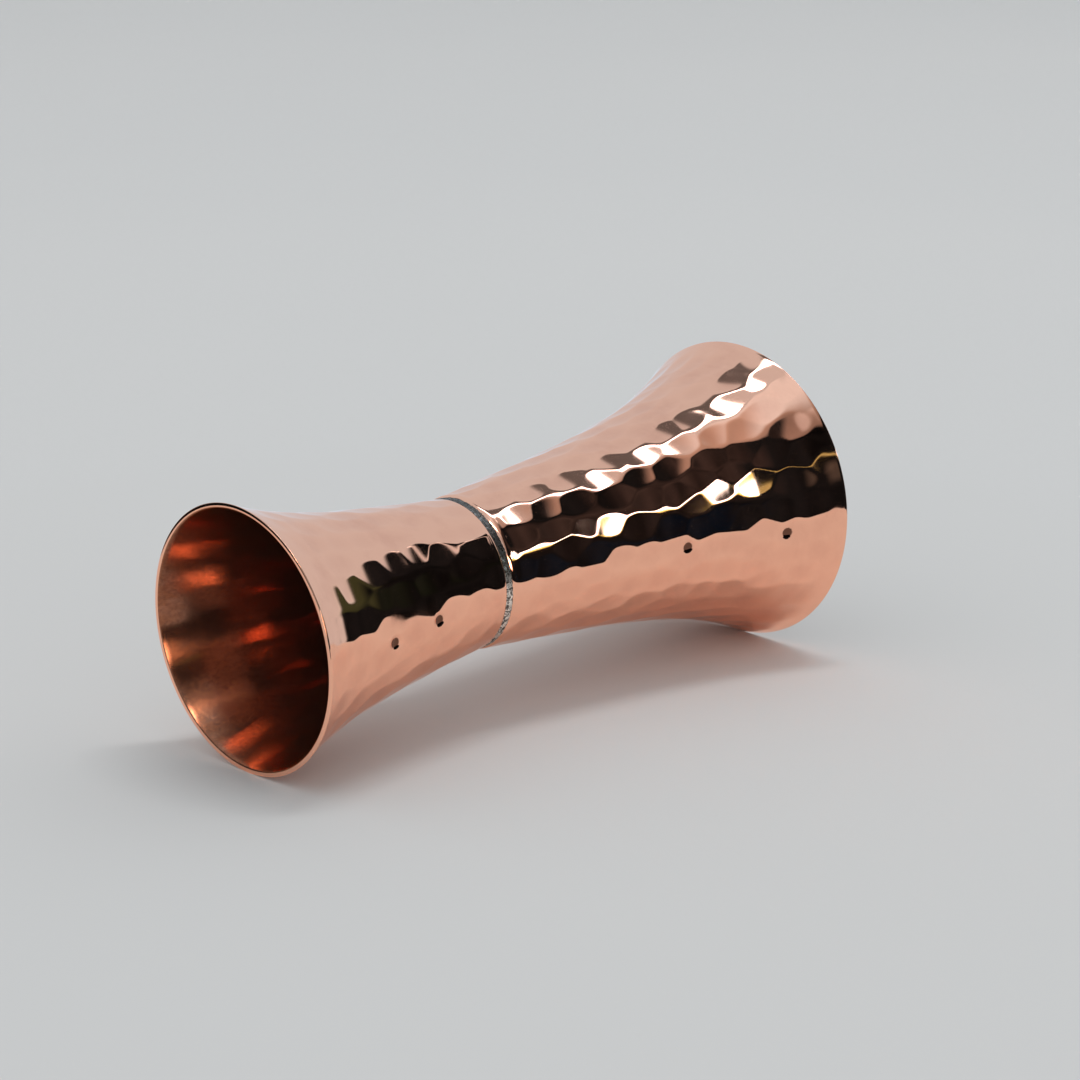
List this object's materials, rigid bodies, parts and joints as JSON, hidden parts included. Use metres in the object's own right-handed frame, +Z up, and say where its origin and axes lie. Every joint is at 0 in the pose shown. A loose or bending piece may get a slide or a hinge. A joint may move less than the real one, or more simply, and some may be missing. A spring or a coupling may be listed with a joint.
{
  "type": "double jigger",
  "caption": "Hammered copper double jigger: a small and a large flared cup soldered back to back, lying on its side on the edges of its mouths.",
  "frame": {"origin": "middle of the footprint of the jigger as it lies on its side, on the plane that it lies on", "axes": "+Z up; the jigger's axis is over X, small cup at -X and large cup at +X, and climbs 2.3 degrees towards +X because both mouths touch the plane; +Y across it"},
  "size_m": [0.1138, 0.053, 0.053],
  "materials": {
    "hammered_copper": "polished copper, planished all over with a round-faced hammer outside, satin inside",
    "solder": "silver-coloured solder, wire-brushed and grainy"
  },
  "bodies": {
    "root": {"small_cup": "hammered_copper", "large_cup": "hammered_copper", "solder_joint": "solder"}
  },
  "joints": []
}
